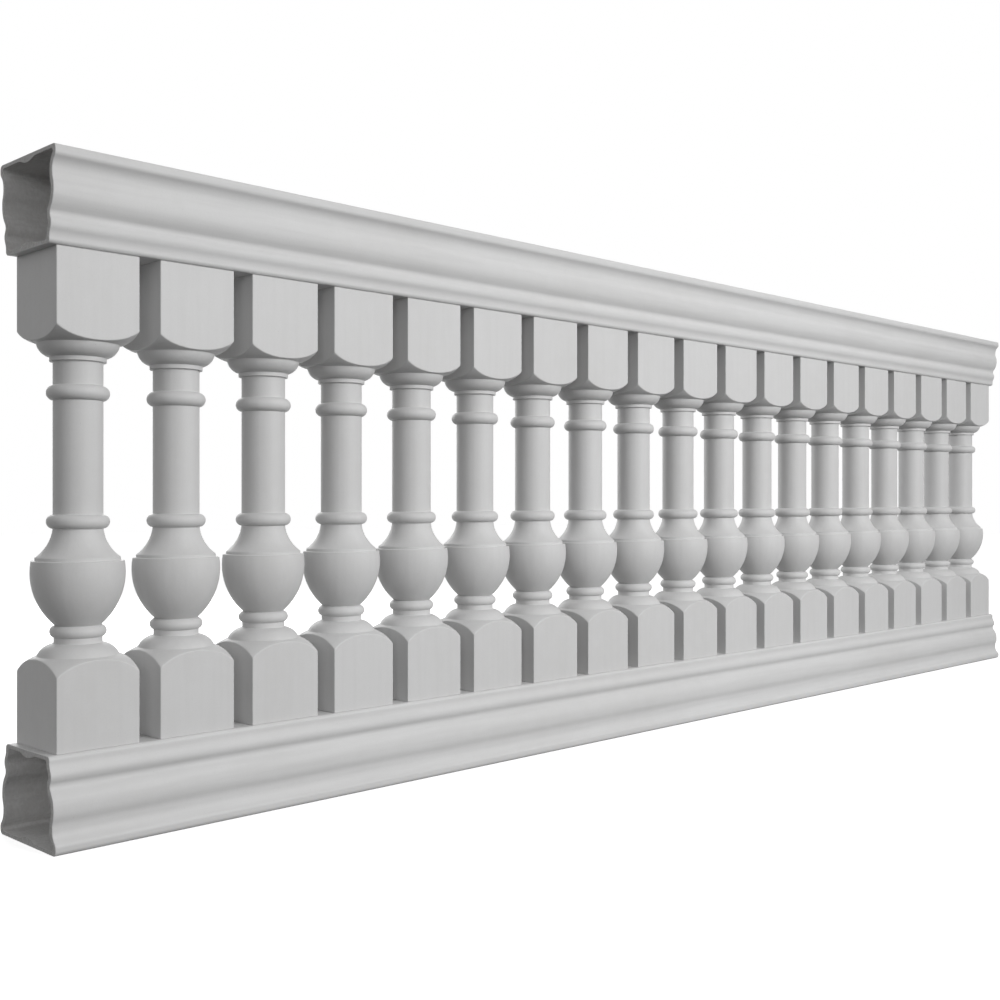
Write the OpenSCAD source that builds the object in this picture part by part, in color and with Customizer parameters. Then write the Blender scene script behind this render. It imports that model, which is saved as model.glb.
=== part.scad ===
// A section of moulded fibreglass balustrade: two hollow moulded rails, one the
// other way up, with a row of turned balusters standing between them.
//
// Frame: X runs along the rails, -Y is the front and +Z is up. The origin is at
// floor level, under the middle of the section. Sizes are in millimetres.

/* [Section] */
// Length of both rails
rail_length = 3048; // [1200:1:6096]
// Bare rail beyond the outermost baluster block, at each end
end_margin = 13.3; // [0:0.1:120]
// Greatest distance allowed between the axes of two balusters
greatest_spacing = 161; // [140:1:260]
// Least gap allowed between two baluster blocks
least_block_gap = 3; // [1:0.5:20]
// Height of a baluster, from the bottom rail to the top rail
baluster_height = 708; // [560:1:1000]

/* [Rail moulding, from the wide face to the narrow face] */
// Height of the flat band beside the wide face
band_height = 11; // [8:0.1:30]
// Height of the cove between the band and the hollow
cove_height = 23; // [14:0.1:40]
// Height of the plain bottom of the hollow
hollow_height = 4; // [0.5:0.1:15]
// Height of the swell, from the hollow to the crown
swell_height = 20; // [12:0.1:40]
// Height of the plain crown
crown_height = 4; // [0.5:0.1:15]
// Height of the ovolo, from the crown to the quirk
ovolo_height = 31.5; // [20:0.1:45]
// Height from the quirk up to the crest of the small bead
bead_rise = 13; // [8:0.1:24]
// Height of the slope from the crest of the small bead to the fascia
bead_fall = 19.5; // [12:0.1:36]
// Height of the flat fascia beside the narrow face
fascia_height = 8.5; // [7:0.1:20]
// How far the fascia stands out beyond the baluster blocks
fascia_overhang = 5.7; // [2:0.1:20]
// How far the flat band stands out beyond the fascia
band_out = 18.8; // [14:0.1:30]
// How far the hollow stands out beyond the fascia
hollow_out = 8.8; // [5:0.1:11]
// How far the crown stands out beyond the fascia
crown_out = 12.8; // [11.5:0.1:24]
// How far the quirk stands out beyond the fascia
quirk_out = 1.3; // [0:0.1:4]
// How far the crest of the small bead stands out beyond the fascia
bead_out = 5.3; // [4.5:0.1:10]
// Share of the cove's depth that its convex upper arc takes
cove_split = 0.27; // [0.15:0.01:0.6]
// Share of the swell's depth that its concave arc takes
swell_split = 0.45; // [0.15:0.01:0.7]
// Share of the ovolo's depth that its convex arc takes
ovolo_split = 0.79; // [0.4:0.01:0.85]
// Share of the small bead's rise that its concave arc takes
bead_rise_split = 0.42; // [0.15:0.01:0.7]
// Share of the small bead's fall that its convex arc takes
bead_fall_split = 0.43; // [0.3:0.01:0.7]
// Rounding of the corner between the wide face and the band
band_edge_radius = 7; // [1:0.1:10]
// Rounding of the corner between the narrow face and the fascia
fascia_edge_radius = 6.5; // [0.5:0.1:8]

/* [Rail laminate] */
// Thickness of the moulded front and back walls
side_wall = 8; // [4:0.1:10]
// Thickness of the flat walls behind the wide and the narrow face
flat_wall = 5.5; // [3:0.1:8]
// Extra thickness where the two halves of the lay-up lap, along the middle
lap_rise = 5.5; // [1:0.1:12]
// Width of the lapped strip
lap_width = 62; // [30:1:90]
// Largest rounding of the inner corners
inner_corner_radius = 6; // [2:0.1:10]

/* [Baluster blocks] */
// Width of the square blocks, across both faces
block_width = 127; // [112:0.1:152.4]
// Height of the bottom block, up to where its corners end
bottom_block_height = 105; // [80:0.1:130]
// Height of the top block, down to where its corners end
top_block_height = 109; // [85:0.1:135]
// Height of the rounded shoulder on the bottom block
bottom_shoulder_height = 23.8; // [12:0.1:30]
// Height of the rounded shoulder under the top block
top_shoulder_height = 19; // [10:0.1:30]
// How far the bottom shoulder's inner edge is set in from the block's face
dome_inset = 6; // [2:0.1:10]
// How far the top shoulder's inner edge is set in from the block's face
cup_inset = 5.3; // [2:0.1:10]
// Angle that the bottom shoulder's arc turns through
bottom_shoulder_sweep = 33; // [10:1:50]
// Angle that the top shoulder's arc turns through
top_shoulder_sweep = 36; // [10:1:50]

/* [Baluster turning] */
// Radius of the shaft
shaft_radius = 35.2; // [26:0.1:43]
// Height of the dome on the bottom block
dome_height = 17.5; // [10:0.1:24]
// Angle that the dome's arc turns through
dome_sweep = 57; // [30:1:80]
// Radius of the foot's neck, between the dome and the foot bead
foot_radius = 34.1; // [26:0.1:42]
// Height of the foot's neck
foot_height = 8.6; // [3:0.1:20]
// Height of the foot bead
foot_bead_height = 16.8; // [8:0.1:24]
// How far the foot bead stands out from the foot's neck
foot_bead_out = 5.8; // [2:0.1:9]
// How much the vase's base is narrower than the foot's neck, on the radius
vase_base_inset = 2.4; // [0:0.1:6]
// Height of the vase, from its base to its rim
vase_height = 94; // [70:0.1:130]
// Radius of the vase's rim
vase_rim_radius = 65.2; // [52:0.1:68]
// Angle that the vase's arc turns through
vase_sweep = 58.7; // [40:0.1:75]
// Width of the flat ledge on the vase's rim
vase_ledge = 5.2; // [2:0.1:12]
// Height of the upright fillet above the vase's ledge
vase_fillet_height = 4.8; // [2:0.1:10]
// Height of the hollow flare, from that fillet to the lower bead
flare_height = 41.5; // [30:0.1:70]
// Angle that the flare's arc turns through
flare_sweep = 48; // [20:1:60]
// Height of the lower bead
lower_bead_height = 20.4; // [10:0.1:30]
// Height of the upper bead
upper_bead_height = 22; // [10:0.1:30]
// How far the two beads stand out from the shaft
bead_projection = 9.3; // [3:0.1:10]
// Length of plain shaft between the upper bead and the collar
upper_shaft_length = 34; // [15:0.1:60]
// Height of the square-edged collar under the cup
collar_height = 6.6; // [3:0.1:12]
// How far the collar stands out from the shaft
collar_out = 4.7; // [2:0.1:8]
// Height of the cup, from the collar to the top shoulder
cup_height = 19.5; // [12:0.1:28]
// Angle that the cup's arc turns through
cup_sweep = 69; // [40:1:85]

/* [Hidden] */
// Largest turn between two points of an arc, in degrees
arc_step = 5;
// How far the turned shoulders carry on past the block's corners before they are cut
shoulder_overrun = 4;
// How far a cutting shape reaches past what it cuts
clearance = 1;
// Least share of a curve's depth that either of its two arcs keeps on the inside
least_share = 0.02;

// Rails
fascia_half = block_width / 2 + fascia_overhang;
rail_height = band_height + cove_height + hollow_height + swell_height + crown_height
    + ovolo_height + bead_rise + bead_fall + fascia_height;
total_height = 2 * rail_height + baluster_height;

// Balusters
block_span = rail_length - 2 * end_margin - block_width;
bays_wanted = ceil(block_span / greatest_spacing);
bays_possible = floor(block_span / (block_width + least_block_gap));
bays = min(bays_wanted, bays_possible);
baluster_count = bays + 1;
baluster_pitch = block_span / bays;

function baluster_name(i) = str("baluster_", i < 10 ? "0" : "", i);
function baluster_x(i) = (i - 1) * baluster_pitch - block_span / 2;

// ---- outlines ----

function turned(v, angle) = [
    v.x * cos(angle) - v.y * sin(angle),
    v.x * sin(angle) + v.y * cos(angle)
];
function swapped(points) = [for (p = points) [p.y, p.x]];
function mirrored(points) = [for (i = [len(points) - 1:-1:0]) [-points[i].x, points[i].y]];

// Points of an arc from p to q that turns left through sweep degrees, or right
// where sweep is negative.
function arc(p, q, sweep) =
    let (
        chord = q - p,
        radius = norm(chord) / (2 * sin(sweep / 2)),
        left = [-chord.y, chord.x] / norm(chord),
        centre = (p + q) / 2 + left * radius * cos(sweep / 2),
        steps = ceil(abs(sweep) / arc_step)
    )
    [for (i = [0:steps]) centre + turned(p - centre, sweep * i / steps)];

// An arc that leaves p upright and ends at q, or ends upright where it is run
// backwards.
function quarter_sweep(p, q) = 2 * atan(abs(q.x - p.x) / abs(q.y - p.y));

// Points of two arcs from p to q that leave p and reach q upright. The first arc
// covers split of the way. They are moved sideways by inset, with their radii
// changed so that the curve stays parallel to the one with no inset, down to the
// least share where the wall is thicker than the radius.
function s_curve(p, q, split, inset = 0) =
    let (
        sweep = quarter_sweep(p, q),
        way = -sign((q.x - p.x) * (q.y - p.y)),
        both_radii = abs(q.y - p.y) / sin(sweep),
        parallel_share = split - way * inset / both_radii,
        share = min(max(parallel_share, least_share), 1 - least_share),
        start = p - [inset, 0],
        finish = q - [inset, 0],
        middle = start + share * (finish - start)
    )
    concat(arc(start, middle, way * sweep), arc(middle, finish, -way * sweep));

// A bead that bulges from a straight upright of radius r, from z up.
function bead(r, z, height, out) = arc([r, z], [r, z + height], 4 * atan(2 * out / height));

// ---- rail ----

// The named points of one side, from the wide face at height 0 upwards
band_top = [fascia_half + band_out, band_height];
hollow = [fascia_half + hollow_out, band_top.y + cove_height];
hollow_top = hollow + [0, hollow_height];
crown = [fascia_half + crown_out, hollow_top.y + swell_height];
crown_top = crown + [0, crown_height];
quirk = [fascia_half + quirk_out, crown_top.y + ovolo_height];
crest = [fascia_half + bead_out, quirk.y + bead_rise];
fascia_foot = [fascia_half, crest.y + bead_fall];

rail_side = concat(
    arc([band_top.x - band_edge_radius, 0], [band_top.x, band_edge_radius], 90),
    s_curve(band_top, hollow, cove_split),
    s_curve(hollow_top, crown, swell_split),
    s_curve(crown_top, quirk, ovolo_split),
    s_curve(quirk, crest, bead_rise_split),
    s_curve(crest, fascia_foot, bead_fall_split),
    arc(
        [fascia_half, rail_height - fascia_edge_radius],
        [fascia_half - fascia_edge_radius, rail_height],
        90
    )
);

// The inside follows the moulding one wall thickness in, and is flat behind the
// wide and the narrow face, with a thicker lap along the middle of each.
floor_z = flat_wall;
ceiling_z = rail_height - flat_wall;
floor_half = band_top.x - side_wall;
ceiling_half = fascia_half - side_wall;
corner_radius = min(inner_corner_radius, band_height - flat_wall);

inner_side = concat(
    swapped(s_curve([floor_z + lap_rise, 0], [floor_z, lap_width / 2], 0.5)),
    arc([floor_half - corner_radius, floor_z], [floor_half, floor_z + corner_radius], 90),
    s_curve(band_top, hollow, cove_split, side_wall),
    s_curve(hollow_top, crown, swell_split, side_wall),
    s_curve(crown_top, quirk, ovolo_split, side_wall),
    s_curve(quirk, crest, bead_rise_split, side_wall),
    s_curve(crest - [side_wall, 0], [ceiling_half, ceiling_z - corner_radius], bead_fall_split),
    arc([ceiling_half, ceiling_z - corner_radius], [ceiling_half - corner_radius, ceiling_z], 90),
    swapped(s_curve([ceiling_z, lap_width / 2], [ceiling_z - lap_rise, 0], 0.5))
);

// A rail with its wide face at height 0.
module rail() {
    rotate([90, 0, 90])
        translate([0, 0, -rail_length / 2])
            linear_extrude(rail_length)
                difference() {
                    polygon(concat(rail_side, mirrored(rail_side)));
                    polygon(concat(inner_side, mirrored(inner_side)));
                }
}

module bottom_rail() {
    color("lightgray") rail();
}

module top_rail() {
    color("lightgray")
        translate([0, 0, total_height])
            mirror([0, 0, 1])
                rail();
}

// ---- baluster ----

corner_radius_of_block = block_width / sqrt(2);
dome_radius = block_width / 2 - dome_inset;
cup_radius = block_width / 2 - cup_inset;
collar_radius = shaft_radius + collar_out;
vase_base_radius = foot_radius - vase_base_inset;
vase_fillet_radius = vase_rim_radius - vase_ledge;

// Heights above the baluster's foot, stacked upwards from the bottom block
dome_z = bottom_block_height + bottom_shoulder_height;
foot_z = dome_z + dome_height;
foot_bead_z = foot_z + foot_height;
vase_z = foot_bead_z + foot_bead_height;
vase_rim_z = vase_z + vase_height;
flare_z = vase_rim_z + vase_fillet_height;
lower_bead_z = flare_z + flare_height;

// and stacked downwards from the top block
top_corner_z = baluster_height - top_block_height;
cup_rim_z = top_corner_z - top_shoulder_height;
collar_top_z = cup_rim_z - cup_height;
collar_z = collar_top_z - collar_height;
upper_bead_z = collar_z - upper_shaft_length - upper_bead_height;

bottom_shoulder = arc(
    [corner_radius_of_block, bottom_block_height],
    [dome_radius, dome_z],
    bottom_shoulder_sweep
);
top_shoulder = arc(
    [cup_radius, cup_rim_z],
    [corner_radius_of_block, top_corner_z],
    top_shoulder_sweep
);

// The point on the straight line from b through a, shoulder_overrun further out.
function overrun(a, b) = a + (a - b) * shoulder_overrun / (a.x - b.x);

bottom_overrun = overrun(bottom_shoulder[0], bottom_shoulder[1]);
top_overrun = overrun(top_shoulder[len(top_shoulder) - 1], top_shoulder[len(top_shoulder) - 2]);

turning_outline = concat(
    [[0, 0], [bottom_overrun.x, 0], bottom_overrun],
    bottom_shoulder,
    arc([dome_radius, dome_z], [foot_radius, foot_z], dome_sweep),
    bead(foot_radius, foot_bead_z, foot_bead_height, foot_bead_out),
    arc([vase_base_radius, vase_z], [vase_rim_radius, vase_rim_z], vase_sweep),
    [[vase_fillet_radius, vase_rim_z]],
    arc([vase_fillet_radius, flare_z], [shaft_radius, lower_bead_z], -flare_sweep),
    bead(shaft_radius, lower_bead_z, lower_bead_height, bead_projection),
    bead(shaft_radius, upper_bead_z, upper_bead_height, bead_projection),
    [[shaft_radius, collar_z], [collar_radius, collar_z]],
    arc([collar_radius, collar_top_z], [cup_radius, cup_rim_z], cup_sweep),
    top_shoulder,
    [top_overrun, [top_overrun.x, baluster_height], [0, baluster_height]]
);

// What the turning is cut to: square at both blocks and round between them.
module baluster_stock() {
    round_radius = block_width;
    translate([-block_width / 2, -block_width / 2, -clearance])
        cube([block_width, block_width, dome_z + clearance]);
    translate([0, 0, dome_z])
        cylinder(r = round_radius, h = cup_rim_z - dome_z, $fn = 96);
    translate([-block_width / 2, -block_width / 2, cup_rim_z])
        cube([block_width, block_width, baluster_height - cup_rim_z + clearance]);
}

module baluster(i) {
    color("gainsboro")
        translate([baluster_x(i), 0, rail_height])
            intersection() {
                rotate_extrude($fn = 96) polygon(turning_outline);
                baluster_stock();
            }
}

bottom_rail();
top_rail();
for (i = [1:baluster_count])
    baluster(i);
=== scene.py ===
"""A straight section of moulded fibreglass balustrade in light grey gelcoat.

The two hollow rails and the turned balusters are modelled again here, with
eased edges, in place of the plain solids of the frame. Outlines are in
millimetres. A point of an outline is a complex number: its real part goes
outwards and its imaginary part upwards.
"""
import cmath
import math

import bmesh
import bpy
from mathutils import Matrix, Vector
from mathutils.geometry import tessellate_polygon


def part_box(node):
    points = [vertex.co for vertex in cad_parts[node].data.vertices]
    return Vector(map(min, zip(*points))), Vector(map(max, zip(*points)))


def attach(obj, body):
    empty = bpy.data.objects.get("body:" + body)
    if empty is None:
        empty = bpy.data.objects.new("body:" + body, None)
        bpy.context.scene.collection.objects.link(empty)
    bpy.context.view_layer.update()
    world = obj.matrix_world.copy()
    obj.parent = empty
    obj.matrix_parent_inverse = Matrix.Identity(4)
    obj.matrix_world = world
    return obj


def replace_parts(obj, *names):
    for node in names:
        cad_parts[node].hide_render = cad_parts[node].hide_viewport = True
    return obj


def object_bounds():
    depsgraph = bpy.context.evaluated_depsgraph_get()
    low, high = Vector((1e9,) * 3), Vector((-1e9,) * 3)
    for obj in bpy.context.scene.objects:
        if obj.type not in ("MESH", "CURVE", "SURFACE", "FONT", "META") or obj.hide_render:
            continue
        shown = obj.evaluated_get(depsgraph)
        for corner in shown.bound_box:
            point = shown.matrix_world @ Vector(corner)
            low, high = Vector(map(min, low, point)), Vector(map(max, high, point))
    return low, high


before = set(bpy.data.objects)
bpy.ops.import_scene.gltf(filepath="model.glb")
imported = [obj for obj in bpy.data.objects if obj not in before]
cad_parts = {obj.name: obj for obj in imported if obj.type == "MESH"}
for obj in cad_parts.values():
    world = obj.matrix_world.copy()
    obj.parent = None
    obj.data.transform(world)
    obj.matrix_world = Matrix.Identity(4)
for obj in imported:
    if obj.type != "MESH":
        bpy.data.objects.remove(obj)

CAD_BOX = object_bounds()
BODY = "root"
MM = 0.001

# ---- what the frame gives, in millimetres ----

BALUSTER_NODES = sorted(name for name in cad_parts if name.startswith("baluster_"))


def size_of(node):
    """Width, depth and height of a node."""
    low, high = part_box(node)
    return [(high[i] - low[i]) / MM for i in range(3)]


RAIL_LENGTH, RAIL_WIDTH, RAIL_HEIGHT = size_of("bottom_rail")
BALUSTER_HEIGHT = size_of(BALUSTER_NODES[0])[2]

# ---- the rail moulding, from its wide face to its narrow face ----

BAND_HEIGHT = 11
COVE_HEIGHT = 23
HOLLOW_HEIGHT = 4
SWELL_HEIGHT = 20
CROWN_HEIGHT = 4
OVOLO_HEIGHT = 31.5
BEAD_RISE = 13
BEAD_FALL = 19.5
BAND_OUT = 18.8
HOLLOW_OUT = 8.8
CROWN_OUT = 12.8
QUIRK_OUT = 1.3
BEAD_OUT = 5.3
COVE_SPLIT = 0.27
SWELL_SPLIT = 0.45
OVOLO_SPLIT = 0.79
BEAD_RISE_SPLIT = 0.42
BEAD_FALL_SPLIT = 0.43
BAND_EDGE_RADIUS = 7
FASCIA_EDGE_RADIUS = 6.5
FASCIA_HALF = RAIL_WIDTH / 2 - BAND_OUT
FASCIA_OVERHANG = 5.7
HALF_BLOCK = FASCIA_HALF - FASCIA_OVERHANG

SIDE_WALL = 8
FLAT_WALL = 5.5
LAP_RISE = 5.5            # thickened strip along the middle of both flats
LAP_HALF = 31
LAP_SPLIT = 0.5
INNER_CORNER_RADIUS = 5.5
LEAST_SHARE = 0.02        # of an s_curve, for its shorter arc

GELCOAT_THICKNESS = 0.9
SAWN_ARRIS = 0.5          # bevel round the cut ends
RAIL_STRETCHES = 24       # lengths that a rail's mesh is divided into

# ---- the baluster, upwards from its foot ----

BOTTOM_BLOCK_HEIGHT = 105
TOP_BLOCK_HEIGHT = 109
BOTTOM_SHOULDER_HEIGHT = 23.8
TOP_SHOULDER_HEIGHT = 19
DOME_INSET = 6
CUP_INSET = 5.3
BOTTOM_SHOULDER_SWEEP = 33
TOP_SHOULDER_SWEEP = 36
SHAFT_RADIUS = 35.2
DOME_HEIGHT = 17.5
DOME_SWEEP = 57
FOOT_RADIUS = 34.1
FOOT_HEIGHT = 8.6
FOOT_BEAD_HEIGHT = 16.8
FOOT_BEAD_OUT = 5.8
VASE_BASE_INSET = 2.4
VASE_HEIGHT = 94
VASE_RIM_RADIUS = 65.2
VASE_SWEEP = 58.7
VASE_LEDGE = 5.2
VASE_FILLET_HEIGHT = 4.8
FLARE_HEIGHT = 41.5
FLARE_SWEEP = 48
LOWER_BEAD_HEIGHT = 20.4
UPPER_BEAD_HEIGHT = 22
BEAD_PROJECTION = 9.3
UPPER_SHAFT_LENGTH = 34
COLLAR_HEIGHT = 6.6
COLLAR_OUT = 4.7
CUP_HEIGHT = 19.5
CUP_SWEEP = 69

EASING = 1.0              # how far a moulded edge is eased along both of its sides
CORNER_EASING = 2.4       # reach of the easing on the block's upright corners
SHOULDER_EASING = 2.0     # reach of the easing where a shoulder meets a block's face
COLUMNS_PER_EIGHTH = 10
CORNER_COLUMNS = (0.3, 0.75, 1.8)   # degrees away from a block's upright corner

# Rows near a block's end: how far from the end, and how far the face is eased back there
END_ROWS = ((0, 0.7), (0.25, 0.25), (0.8, 0))
# Rows on a block's face, by how far they lie from the crease of its shoulder
FACE_ROWS = (30, 8, 3, 1.7, 0.95, 0.45, 0)
# Rows beside the crease on the shoulder: the distance, and the most of the shoulder it takes
CREASE_ROWS = ((0.45, 0.15), (0.95, 0.3), (1.7, 0.45))
SHOULDER_ROWS = 7

CREASE = math.radians(40)           # a sharper edge than this is shaded as a crease
WELD = 0.02                         # points nearer than this are one point
NEAR_ZERO = 1e-6

# ---- outlines ----


def arc(p, q, sweep, step=7.5):
    """Points from p to q on an arc that turns left through sweep degrees."""
    turn = math.radians(sweep)
    chord = q - p
    radius = abs(chord) / (2 * math.sin(turn / 2))
    centre = (p + q) / 2 + 1j * chord / abs(chord) * radius * math.cos(turn / 2)
    steps = math.ceil(abs(sweep) / step)
    return [centre + (p - centre) * cmath.exp(1j * turn * i / steps) for i in range(steps + 1)]


def s_curve(p, q, split, inset=0):
    """Two arcs that leave p and reach q upright, moved sideways by inset."""
    across, up = abs((q - p).real), abs((q - p).imag)
    sweep = 2 * math.degrees(math.atan(across / up))
    way = -math.copysign(1, (q - p).real * (q - p).imag)
    both_radii = up / math.sin(math.radians(sweep))
    share = split - way * inset / both_radii
    share = min(max(share, LEAST_SHARE), 1 - LEAST_SHARE)
    start, finish = p - inset, q - inset
    middle = start + share * (finish - start)
    return arc(start, middle, way * sweep) + arc(middle, finish, -way * sweep)


def bead(radius, z, height, out):
    """A bead that bulges from a straight upright."""
    sweep = 4 * math.degrees(math.atan(2 * out / height))
    return arc(complex(radius, z), complex(radius, z + height), sweep)


def swapped(points):
    """The points with outwards and upwards exchanged."""
    return [complex(p.imag, p.real) for p in points]


def mirrored(points):
    """The points on the other side of the rail, in the order that carries the outline on."""
    return [complex(-p.real, p.imag) for p in reversed(points)]


def spaced(points, least=0.05):
    """The points without those that lie on top of the one before."""
    kept = [points[0]]
    for p in points[1:]:
        if abs(p - kept[-1]) > least:
            kept.append(p)
    return kept


def eased(points, reach, sharp=14, cuts=3, most=0.45):
    """An open outline with each corner of over sharp degrees rounded off.

    The rounding starts reach away from the corner, or most of the way to the
    next point where that is nearer.
    """
    points = spaced(points)
    result = [points[0]]
    for before, p, after in zip(points, points[1:], points[2:]):
        turn = abs(math.degrees(cmath.phase((after - p) / (p - before))))
        if turn < sharp:
            result.append(p)
            continue
        back = min(reach, most * abs(p - before))
        ahead = min(reach, most * abs(after - p))
        start = p + (before - p) / abs(before - p) * back
        finish = p + (after - p) / abs(after - p) * ahead
        for i in range(cuts + 1):
            t = i / cuts
            result.append((1 - t) ** 2 * start + 2 * t * (1 - t) * p + t ** 2 * finish)
    return result + [points[-1]]


def inset_loop(points, distance):
    """A closed outline that runs anticlockwise, moved inwards."""
    moved = []
    for i, p in enumerate(points):
        run = points[(i + 1) % len(points)] - points[i - 1]
        moved.append(p + 1j * run / abs(run) * distance)
    return moved


# ---- meshes ----


def new_mesh(name, vertices, faces, finishes, kinds=None):
    """A smooth mesh of millimetre vertices. kinds gives the finish of each face."""
    mesh = bpy.data.meshes.new(name)
    mesh.from_pydata([tuple(c * MM for c in v) for v in vertices], [], faces)
    for finish in finishes:
        mesh.materials.append(finish)
    for i, face in enumerate(mesh.polygons):
        face.use_smooth = True
        face.material_index = kinds[i] if kinds else 0
    mesh.set_sharp_from_angle(angle=CREASE)
    return mesh


def place_piece(name, mesh):
    """An object of the mesh that rides on the part, with the flat faces shaded flat."""
    piece = bpy.data.objects.new(name, mesh)
    bpy.context.scene.collection.objects.link(piece)
    normals = piece.modifiers.new("crisp_shading", "WEIGHTED_NORMAL")
    normals.keep_sharp = True
    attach(piece, BODY)
    return piece


def strip(first, second, count):
    """Faces between two closed rings of count vertices that start at first and second."""
    return [
        (first + i, first + (i + 1) % count, second + (i + 1) % count, second + i)
        for i in range(count)
    ]


# ---- rails ----


def rail_outlines():
    """The outer and the inner outline, both closed and anticlockwise."""
    band_top = complex(FASCIA_HALF + BAND_OUT, BAND_HEIGHT)
    hollow = complex(FASCIA_HALF + HOLLOW_OUT, band_top.imag + COVE_HEIGHT)
    hollow_top = hollow + 1j * HOLLOW_HEIGHT
    crown = complex(FASCIA_HALF + CROWN_OUT, hollow_top.imag + SWELL_HEIGHT)
    crown_top = crown + 1j * CROWN_HEIGHT
    quirk = complex(FASCIA_HALF + QUIRK_OUT, crown_top.imag + OVOLO_HEIGHT)
    crest = complex(FASCIA_HALF + BEAD_OUT, quirk.imag + BEAD_RISE)
    fascia_foot = complex(FASCIA_HALF, crest.imag + BEAD_FALL)
    band_edge = [band_top.real - BAND_EDGE_RADIUS + 0j, complex(band_top.real, BAND_EDGE_RADIUS)]
    fascia_edge = [
        complex(FASCIA_HALF, RAIL_HEIGHT - FASCIA_EDGE_RADIUS),
        complex(FASCIA_HALF - FASCIA_EDGE_RADIUS, RAIL_HEIGHT),
    ]
    side = (
        arc(*band_edge, 90)
        + s_curve(band_top, hollow, COVE_SPLIT)
        + s_curve(hollow_top, crown, SWELL_SPLIT)
        + s_curve(crown_top, quirk, OVOLO_SPLIT)
        + s_curve(quirk, crest, BEAD_RISE_SPLIT)
        + s_curve(crest, fascia_foot, BEAD_FALL_SPLIT)
        + arc(*fascia_edge, 90)
    )

    low, high = FLAT_WALL, RAIL_HEIGHT - FLAT_WALL
    wide, narrow = band_top.real - SIDE_WALL, FASCIA_HALF - SIDE_WALL
    corner = INNER_CORNER_RADIUS
    low_lap = s_curve(complex(low + LAP_RISE, 0), complex(low, LAP_HALF), LAP_SPLIT)
    high_lap = s_curve(complex(high, LAP_HALF), complex(high - LAP_RISE, 0), LAP_SPLIT)
    inside = (
        swapped(low_lap)
        + arc(complex(wide - corner, low), complex(wide, low + corner), 90)
        + s_curve(band_top, hollow, COVE_SPLIT, SIDE_WALL)
        + s_curve(hollow_top, crown, SWELL_SPLIT, SIDE_WALL)
        + s_curve(crown_top, quirk, OVOLO_SPLIT, SIDE_WALL)
        + s_curve(quirk, crest, BEAD_RISE_SPLIT, SIDE_WALL)
        + s_curve(crest - SIDE_WALL, complex(narrow, high - corner), BEAD_FALL_SPLIT)
        + arc(complex(narrow, high - corner), complex(narrow - corner, high), 90)
        + swapped(high_lap)
    )
    return spaced(side + mirrored(side)), spaced(inside + mirrored(inside))[:-1]


def stations(reach):
    """Places of the rings along a rail, from -reach to reach."""
    return [reach * (2 * i / RAIL_STRETCHES - 1) for i in range(RAIL_STRETCHES + 1)]


def rail(name, upside_down, finishes):
    """One rail: gelcoat outside, sawn ends, bare laminate inside in a pale grey that is partly
    painted light.
    """
    outer, inner = rail_outlines()
    low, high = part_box(name)
    end = RAIL_LENGTH / 2
    base = (high[2] if upside_down else low[2]) / MM
    way = -1 if upside_down else 1
    vertices, faces, kinds = [], [], []
    gelcoat, sawn, laminate = range(3)

    def ring(loop, x):
        vertices.extend((x, p.real, base + way * p.imag) for p in loop)
        return len(vertices) - len(loop)

    def skin(first, second, count, kind):
        faces.extend(strip(first, second, count))
        kinds.extend([kind] * count)

    def end_face(large, small, x, kind):
        first = ring(large, x)
        ring(small, x)
        loops = [[(p.real, p.imag, 0) for p in loop] for loop in (large, small)]
        triangles = tessellate_polygon(loops)
        faces.extend(tuple(first + i for i in t) for t in triangles)
        kinds.extend([kind] * len(triangles))

    edge = inset_loop(outer, SAWN_ARRIS)
    coat = inset_loop(outer, GELCOAT_THICKNESS)
    rings = [ring(edge, -end)]
    rings += [ring(outer, x) for x in stations(end - SAWN_ARRIS)]
    rings.append(ring(edge, end))
    for first, second in zip(rings, rings[1:]):
        skin(first, second, len(outer), gelcoat)
    rings = [ring(inner, x) for x in stations(end)]
    for first, second in zip(rings, rings[1:]):
        skin(first, second, len(inner), laminate)
    for x in (-end, end):
        end_face(edge, coat, x, gelcoat)
        end_face(coat, inner, x, sawn)

    mesh = new_mesh(name + "_moulding", vertices, faces, finishes, kinds)
    weld_and_turn_out(mesh)
    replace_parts(place_piece(name + "_moulding", mesh), name)


def weld_and_turn_out(mesh):
    """Joins the rings that lie on each other and turns each face out of the solid."""
    work = bmesh.new()
    work.from_mesh(mesh)
    bmesh.ops.remove_doubles(work, verts=work.verts, dist=WELD * MM)
    bmesh.ops.recalc_face_normals(work, faces=work.faces)
    work.to_mesh(mesh)
    work.free()
    mesh.set_sharp_from_angle(angle=CREASE)


# ---- balusters ----

DOME_Z = BOTTOM_BLOCK_HEIGHT + BOTTOM_SHOULDER_HEIGHT
FOOT_Z = DOME_Z + DOME_HEIGHT
FOOT_BEAD_Z = FOOT_Z + FOOT_HEIGHT
VASE_Z = FOOT_BEAD_Z + FOOT_BEAD_HEIGHT
VASE_RIM_Z = VASE_Z + VASE_HEIGHT
FLARE_Z = VASE_RIM_Z + VASE_FILLET_HEIGHT
LOWER_BEAD_Z = FLARE_Z + FLARE_HEIGHT
TOP_CORNER_Z = BALUSTER_HEIGHT - TOP_BLOCK_HEIGHT
CUP_RIM_Z = TOP_CORNER_Z - TOP_SHOULDER_HEIGHT
COLLAR_TOP_Z = CUP_RIM_Z - CUP_HEIGHT
COLLAR_Z = COLLAR_TOP_Z - COLLAR_HEIGHT
UPPER_BEAD_Z = COLLAR_Z - UPPER_SHAFT_LENGTH - UPPER_BEAD_HEIGHT


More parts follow.
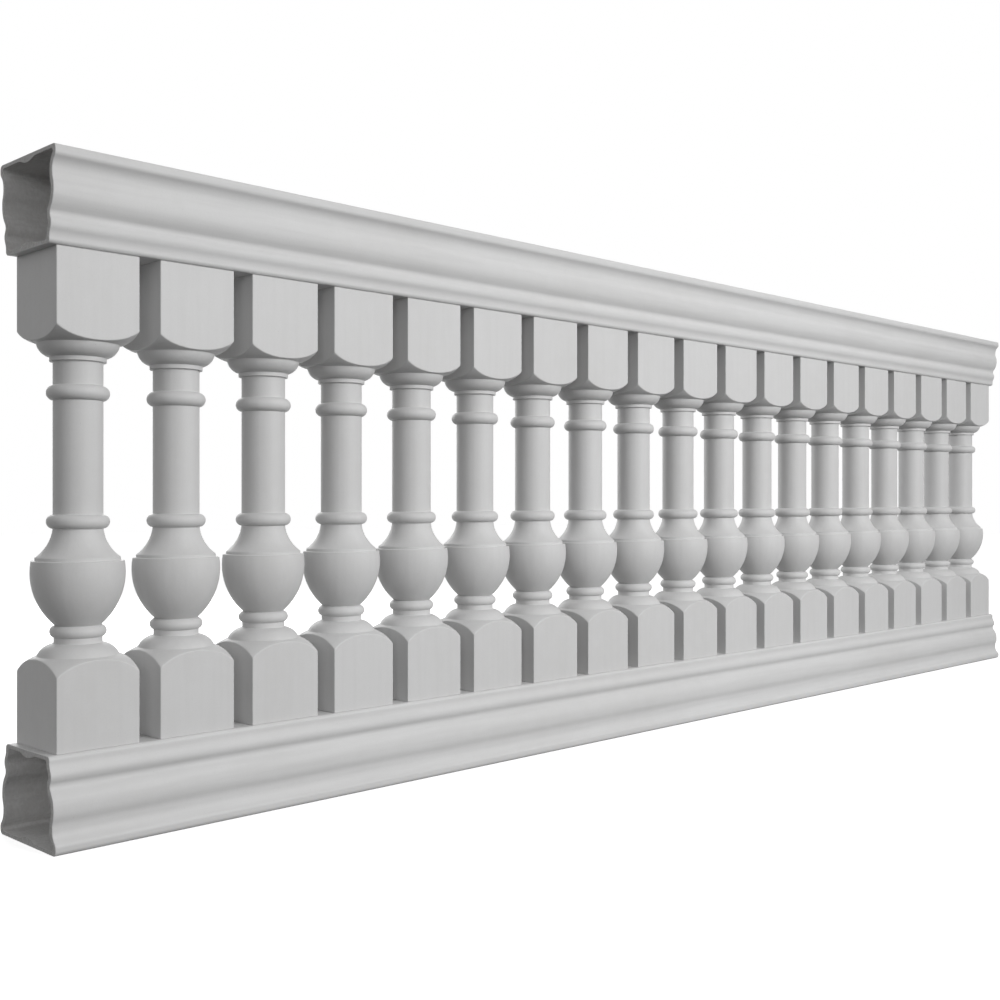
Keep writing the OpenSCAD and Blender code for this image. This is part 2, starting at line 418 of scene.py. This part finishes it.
def turning():
    """The eased outline from the bottom block's corner to the top block's corner."""
    corner = HALF_BLOCK * math.sqrt(2)
    dome = HALF_BLOCK - DOME_INSET
    cup = HALF_BLOCK - CUP_INSET
    fillet = VASE_RIM_RADIUS - VASE_LEDGE
    collar = SHAFT_RADIUS + COLLAR_OUT
    points = (
        arc(complex(corner, BOTTOM_BLOCK_HEIGHT),
            complex(dome, DOME_Z), BOTTOM_SHOULDER_SWEEP, step=3)
        + arc(complex(dome, DOME_Z), complex(FOOT_RADIUS, FOOT_Z), DOME_SWEEP)
        + bead(FOOT_RADIUS, FOOT_BEAD_Z, FOOT_BEAD_HEIGHT, FOOT_BEAD_OUT)
        + arc(complex(FOOT_RADIUS - VASE_BASE_INSET, VASE_Z),
              complex(VASE_RIM_RADIUS, VASE_RIM_Z), VASE_SWEEP, step=5)
        + [complex(fillet, VASE_RIM_Z)]
        + arc(complex(fillet, FLARE_Z),
              complex(SHAFT_RADIUS, LOWER_BEAD_Z), -FLARE_SWEEP, step=6)
        + bead(SHAFT_RADIUS, LOWER_BEAD_Z, LOWER_BEAD_HEIGHT, BEAD_PROJECTION)
        + bead(SHAFT_RADIUS, UPPER_BEAD_Z, UPPER_BEAD_HEIGHT, BEAD_PROJECTION)
        + [complex(SHAFT_RADIUS, COLLAR_Z), complex(collar, COLLAR_Z)]
        + arc(complex(collar, COLLAR_TOP_Z), complex(cup, CUP_RIM_Z), CUP_SWEEP)
        + arc(complex(cup, CUP_RIM_Z),
              complex(corner, TOP_CORNER_Z), TOP_SHOULDER_SWEEP, step=3)
    )
    return eased(points, EASING)


def soft_least(a, b, reach):
    """The lesser of a and b, blended where they are within reach of each other."""
    overlap = max(reach - abs(a - b), 0) / reach
    return min(a, b) - overlap * overlap * reach / 4


def radius(p):
    """How far a point of an outline is from the baluster's middle."""
    return p.real


def height(p):
    """How far a point of an outline is above the baluster's foot."""
    return p.imag


def along(points, at, key, value):
    """value on the outline where key is at, carried on straight past both ends."""
    for p, q in zip(points, points[1:]):
        if key(p) <= at <= key(q):
            break
    else:
        p, q = (points[0], points[1]) if at < key(points[0]) else (points[-2], points[-1])
    return value(p) + (value(q) - value(p)) * (at - key(p)) / (key(q) - key(p))


def block_heights(end, crease, inner):
    """Heights of the rows from a block's end, over its crease, to its shoulder's inner edge."""
    way = math.copysign(1, inner - end)
    room = abs(inner - crease)
    near = [min(reach, share * room) for reach, share in CREASE_ROWS]
    left = room - near[-1]
    rest = [near[-1] + left * i / SHOULDER_ROWS for i in range(1, SHOULDER_ROWS + 1)]
    face = [end + way * d for d, _ in END_ROWS] + [crease - way * d for d in FACE_ROWS]
    return face + [crease + way * d for d in near + rest]


def block_reach(angle):
    """How far the square block reaches from the baluster's middle at an angle."""
    across = HALF_BLOCK / max(abs(math.cos(angle)), NEAR_ZERO)
    deep = HALF_BLOCK / max(abs(math.sin(angle)), NEAR_ZERO)
    return soft_least(across, deep, CORNER_EASING)


def block_column(shoulder, heights, end, square):
    """Radius and height of one column's points, square on the block and turned beyond."""
    column = []
    for z in heights:
        turned = along(shoulder, z, height, radius)
        back = dict(END_ROWS).get(round(abs(z - end), 2), 0)
        column.append((soft_least(turned, square, SHOULDER_EASING) - back, z))
    return column


def column_angles():
    """Angles all the way round, closer together at the block's upright corners."""
    eighth = [45 * i / COLUMNS_PER_EIGHTH for i in range(COLUMNS_PER_EIGHTH)]
    eighth += [45 - d for d in reversed(CORNER_COLUMNS)]
    quarter = eighth + [45] + [90 - a for a in reversed(eighth)]
    return [math.radians(90 * turn + a) for turn in range(4) for a in quarter[:-1]]


def baluster_mesh(finish):
    """A turned baluster that stands on the origin, with a square block at both ends."""
    outline = turning()
    first = max(i for i, p in enumerate(outline) if p.imag < DOME_Z - EASING / 2)
    last = min(i for i, p in enumerate(outline) if p.imag > CUP_RIM_Z + EASING / 2)
    lower, upper = outline[:first + 1], outline[last:]
    columns = []
    for angle in column_angles():
        square = block_reach(angle)
        lower_crease = along(lower[::-1], square, radius, height)
        upper_crease = along(upper, square, radius, height)
        lower_heights = block_heights(0, lower_crease, lower[-1].imag)
        upper_heights = block_heights(BALUSTER_HEIGHT, upper_crease, upper[0].imag)
        column = block_column(lower, lower_heights, 0, square)
        column += [(p.real, p.imag) for p in outline[first + 1:last]]
        column += block_column(upper, upper_heights[::-1], BALUSTER_HEIGHT, square)
        columns.append([(r * math.cos(angle), r * math.sin(angle), z) for r, z in column])

    count, rows = len(columns), len(columns[0])
    vertices = [column[row] for row in range(rows) for column in columns]
    faces = [f for row in range(rows - 1) for f in strip(row * count, (row + 1) * count, count)]
    faces.append(tuple(reversed(range(count))))
    faces.append(tuple(range((rows - 1) * count, rows * count)))
    return new_mesh("turned_baluster", vertices, faces, [finish])


def balusters(finish):
    """The row of balusters, all of one mesh."""
    mesh = baluster_mesh(finish)
    for name in BALUSTER_NODES:
        low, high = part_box(name)
        piece = place_piece(name + "_turning", mesh)
        piece.location = ((low[0] + high[0]) / 2, (low[1] + high[1]) / 2, low[2])
        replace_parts(piece, name)


# ---- finishes ----


class Signal:
    """A value or a colour on its way through a material, with arithmetic for values."""

    def __init__(self, finish, socket):
        self.finish = finish
        self.socket = socket

    def maths(self, operation, *values):
        """The outcome of a Math node."""
        return self.finish.node("ShaderNodeMath", {"operation": operation}, dict(enumerate(values)))

    def __add__(self, other):
        return self.maths("ADD", self, other)

    def __sub__(self, other):
        return self.maths("SUBTRACT", self, other)

    def __rsub__(self, other):
        return self.maths("SUBTRACT", other, self)

    def __mul__(self, other):
        return self.maths("MULTIPLY", self, other)

    __radd__ = __add__
    __rmul__ = __mul__

    def over(self, low, high):
        """0 where the value is at low or past it, 1 at high or past it, a soft step between."""
        sockets = {"Value": self, "From Min": low, "From Max": high}
        return self.finish.node("ShaderNodeMapRange", {"interpolation_type": "SMOOTHSTEP"}, sockets)


# Numbers of a Mix node's colour sockets
MIX_A, MIX_B, MIX_RESULT = 6, 7, 2


class Finish:
    """A node tree that is filled one node at a time."""

    def __init__(self, name=None, world=None):
        owner = world or bpy.data.materials.new(name)
        owner.use_nodes = True
        self.owner = owner
        self.tree = owner.node_tree
        self.tree.nodes.clear()

    def node(self, kind, settings=None, sockets=None, out=0):
        """Adds a node with its settings first, then its sockets, and gives one output."""
        made = self.tree.nodes.new(kind)
        for key, value in (settings or {}).items():
            setattr(made, key, value)
        for key, value in (sockets or {}).items():
            if isinstance(value, Signal):
                self.tree.links.new(value.socket, made.inputs[key])
            else:
                made.inputs[key].default_value = value
        return Signal(self, made.outputs[out]) if made.outputs else made

    def place(self, stretch=(1, 1, 1)):
        """Where a point is on the balustrade, in metres, stretched along the axes."""
        position = self.node("ShaderNodeNewGeometry", out="Position")
        return self.node(
            "ShaderNodeVectorMath", {"operation": "MULTIPLY"}, {0: position, 1: stretch})

    def noise(self, place, size, detail=3.0, roughness=0.5):
        """Noise whose patches are about size metres across."""
        sockets = {"Vector": place, "Scale": 1 / size, "Detail": detail, "Roughness": roughness}
        return self.node("ShaderNodeTexNoise", None, sockets)

    def cells(self, place, size):
        """How far a point is from the middle of the nearest of many scattered cells."""
        return self.node("ShaderNodeTexVoronoi", None, {"Vector": place, "Scale": 1 / size})

    def mix(self, factor, a, b):
        """Colour a where factor is 0 and colour b where it is 1."""
        colours = {"Factor": factor, MIX_A: a, MIX_B: b}
        return self.node("ShaderNodeMix", {"data_type": "RGBA"}, colours, out=MIX_RESULT)

    def bump(self, height, distance, strength=1.0, normal=None):
        """A normal tilted by height, which stands for distance metres, on top of normal."""
        sockets = {"Height": height, "Distance": distance, "Strength": strength}
        if normal:
            sockets["Normal"] = normal
        return self.node("ShaderNodeBump", None, sockets)

    def surface(self, shader):
        """Ends the tree with the shader, and gives back the material."""
        self.node("ShaderNodeOutputMaterial", None, {"Surface": shader})
        return self.owner

    def coat(self, tone, rough, normal, gloss):
        """Ends the tree as an opaque surface, and gives back the material."""
        return self.surface(self.node("ShaderNodeBsdfPrincipled", None, {
            "Base Color": tone, "Roughness": rough, "Normal": normal,
            "Specular IOR Level": gloss}))


def grey(tone, warmth=0.0):
    """A grey with a little more red and less blue."""
    return (tone * (1 + warmth), tone, tone * (1 - warmth), 1)


def gelcoat_finish(name, stretch, marked):
    """Light grey gelcoat: faintly mottled, satin, with a fine orange peel.

    Its drag marks run the way that stretch is small, as strong as marked.
    """
    f = Finish(name)
    place = f.place()
    drag = f.noise(f.place(stretch), 0.011, 3.0, 0.55)
    mottle = f.noise(place, 0.35, 4.0)
    pigment = f.noise(place, 0.03, 5.0, 0.6)
    grain = f.noise(place, 0.0022, 2.0)
    peel = f.noise(place, 0.006, 2.0)
    wave = f.noise(place, 0.09, 1.0)
    pin = f.cells(place, 0.02).over(0.035, 0.02)

    tone = f.mix(mottle.over(0.3, 0.7), grey(0.585, 0.004), grey(0.615, 0.0))
    tone = f.mix(pigment.over(0.35, 0.75) * 0.35, tone, grey(0.64, -0.002))
    tone = f.mix(grain.over(0.45, 0.8) * 0.18, tone, grey(0.5, 0.0))
    tone = f.mix(drag.over(0.4, 0.7) * marked, tone, grey(0.555, 0.002))
    tone = f.mix(pin * 0.35, tone, grey(0.33, 0.01))
    rough = 0.44 + mottle * 0.08 + grain * 0.08 + drag * 0.08 + pin * 0.2
    normal = f.bump(wave, 0.0012, 0.35)
    normal = f.bump(drag, 0.0003, 0.35, normal)
    normal = f.bump(peel, 0.00018, 0.5, normal)
    normal = f.bump(grain - pin * 2, 0.00006, 0.6, normal)
    return f.coat(tone, rough, normal, 0.35)


def laminate_painted_light_finish():
    """Bare chopped strand mat on the inside, rolled down in resin. Its pale grey is partly painted
    light: it is lighter than the gelcoat so that the shaded inside of the rails looks lit.
    """
    f = Finish("laminate_painted_light")
    place = f.place()
    one = f.noise(f.place((1, 7, 2)), 0.02, 4.0, 0.65)
    other = f.noise(f.place((6, 1.5, 3)), 0.02, 4.0, 0.65)
    blotch = f.noise(place, 0.06, 4.0, 0.6)
    resin = f.noise(place, 0.012, 3.0)
    strands = one.over(0.42, 0.6) * 0.5 + other.over(0.42, 0.6) * 0.5
    # These pale greys are partly painted light, raised so that the shaded inside of the tube looks
    # lit.
    tone = f.mix(strands, grey(0.66, 0.01), grey(0.78, 0.005))
    tone = f.mix(blotch.over(0.35, 0.7) * 0.45, tone, grey(0.70, 0.015))
    normal = f.bump(strands + resin * 0.6, 0.0008, 0.5)
    return f.coat(tone, 0.5 + resin * 0.3, normal, 0.3)


def sawn_finish():
    """The sawn edge of the laminate: fine saw lines over pale layers of glass."""
    f = Finish("sawn_laminate")
    saw = f.noise(f.place((1, 0.15, 5)), 0.006, 3.0)
    layers = f.noise(f.place(), 0.0035, 3.0, 0.6)
    tone = f.mix(layers.over(0.35, 0.65), grey(0.49, 0.015), grey(0.60, 0.005))
    tone = f.mix(saw.over(0.55, 0.8) * 0.4, tone, grey(0.42, 0.01))
    normal = f.bump(saw + layers * 0.5, 0.0003, 0.7)
    return f.coat(tone, 0.68 + layers * 0.2, normal, 0.25)


# ---- studio ----

CAMERA_PLACE = (-2.3065, -1.7212, 0.4882)
CAMERA_TURN = 45.17         # degrees from +Y towards +X
CAMERA_LENS = 45.02         # millimetres

# Each lamp: its place and width in metres, and its power in watts
KEY = ((0.15, -3.8, 1.75), 2.4, 123)
SIDE_FILL = ((-7.0, -5.5, 1.8), 3.0, 72)
BACK_FILL = ((0.25, 3.7, 1.8), 2.4, 72)
LAMPS_AIM = (0, 0, 0.5)
AMBIENT = 0.355
FLOOR_SIZE = 30
FLOOR_GLOW = 0.72           # seen by the camera only, with FLOOR_PALE
FLOOR_PALE = 0.9
FLOOR_DARK = 0.05           # the floor's colour for the light that it throws back


def camera():
    """A level camera that looks along the row from near its left end."""
    data = bpy.data.cameras.new("camera")
    data.lens = CAMERA_LENS
    placed = bpy.data.objects.new("camera", data)
    placed.location = CAMERA_PLACE
    placed.rotation_euler = (math.radians(90), 0, -math.radians(CAMERA_TURN))
    bpy.context.scene.collection.objects.link(placed)
    bpy.context.scene.camera = placed


def lamp(name, place, width, power):
    """A round area lamp that faces LAMPS_AIM."""
    data = bpy.data.lights.new(name, "AREA")
    data.shape = "DISK"
    data.size = width
    data.energy = power
    hung = bpy.data.objects.new(name, data)
    hung.location = place
    away = Vector(place) - Vector(LAMPS_AIM)
    hung.rotation_euler = away.to_track_quat("Z", "Y").to_euler()
    bpy.context.scene.collection.objects.link(hung)


def seen_white(f):
    """1 for rays that look at the background, straight or in a gloss."""
    ways = [f.node("ShaderNodeLightPath", out=name)
            for name in ("Is Camera Ray", "Is Glossy Ray", "Is Transmission Ray")]
    return ways[0].maths("MAXIMUM", ways[0].maths("MAXIMUM", ways[0], ways[1]), ways[2])


def surroundings():
    """Soft even light, seen as a white background."""
    world = bpy.data.worlds.new("studio")
    bpy.context.scene.world = world
    f = Finish(world=world)
    soft = f.node("ShaderNodeBackground", None, {"Color": grey(1), "Strength": AMBIENT})
    white = f.node("ShaderNodeBackground", None, {"Color": grey(1), "Strength": 1.0})
    shown = f.node("ShaderNodeMixShader", None, {0: seen_white(f), 1: soft, 2: white})
    f.node("ShaderNodeOutputWorld", None, {"Surface": shown})


def floor():
    """A pale floor that shows white, takes the shadow and throws little light back."""
    f = Finish("pale_floor")
    matt = f.node("ShaderNodeBsdfDiffuse", None, {"Color": grey(FLOOR_DARK)})
    bright = f.node("ShaderNodeBsdfDiffuse", None, {"Color": grey(FLOOR_PALE)})
    glow = f.node("ShaderNodeEmission", None, {"Color": grey(1), "Strength": FLOOR_GLOW})
    lit = f.node("ShaderNodeAddShader", None, {0: bright, 1: glow})
    shown = f.node("ShaderNodeMixShader", None, {0: seen_white(f), 1: matt, 2: lit})
    finish = f.surface(shown)
    half = FLOOR_SIZE / 2
    z = CAD_BOX[0][2]
    mesh = bpy.data.meshes.new("floor")
    corners = [(-half, -half, z), (half, -half, z), (half, half, z), (-half, half, z)]
    mesh.from_pydata(corners, [], [(0, 1, 2, 3)])
    mesh.materials.append(finish)
    ground = bpy.data.objects.new("floor", mesh)
    bpy.context.scene.collection.objects.link(ground)


bpy.context.scene.view_settings.view_transform = "Standard"
camera()
lamp("key", *KEY)
lamp("side_fill", *SIDE_FILL)
lamp("back_fill", *BACK_FILL)
surroundings()
floor()

rail_gelcoat = gelcoat_finish("rail_gelcoat", (0.06, 1, 1), 0.5)
baluster_gelcoat = gelcoat_finish("baluster_gelcoat", (1, 1, 0.06), 0.22)
rail_finishes = [rail_gelcoat, sawn_finish(), laminate_painted_light_finish()]
rail("bottom_rail", False, rail_finishes)
rail("top_rail", True, rail_finishes)
balusters(baluster_gelcoat)
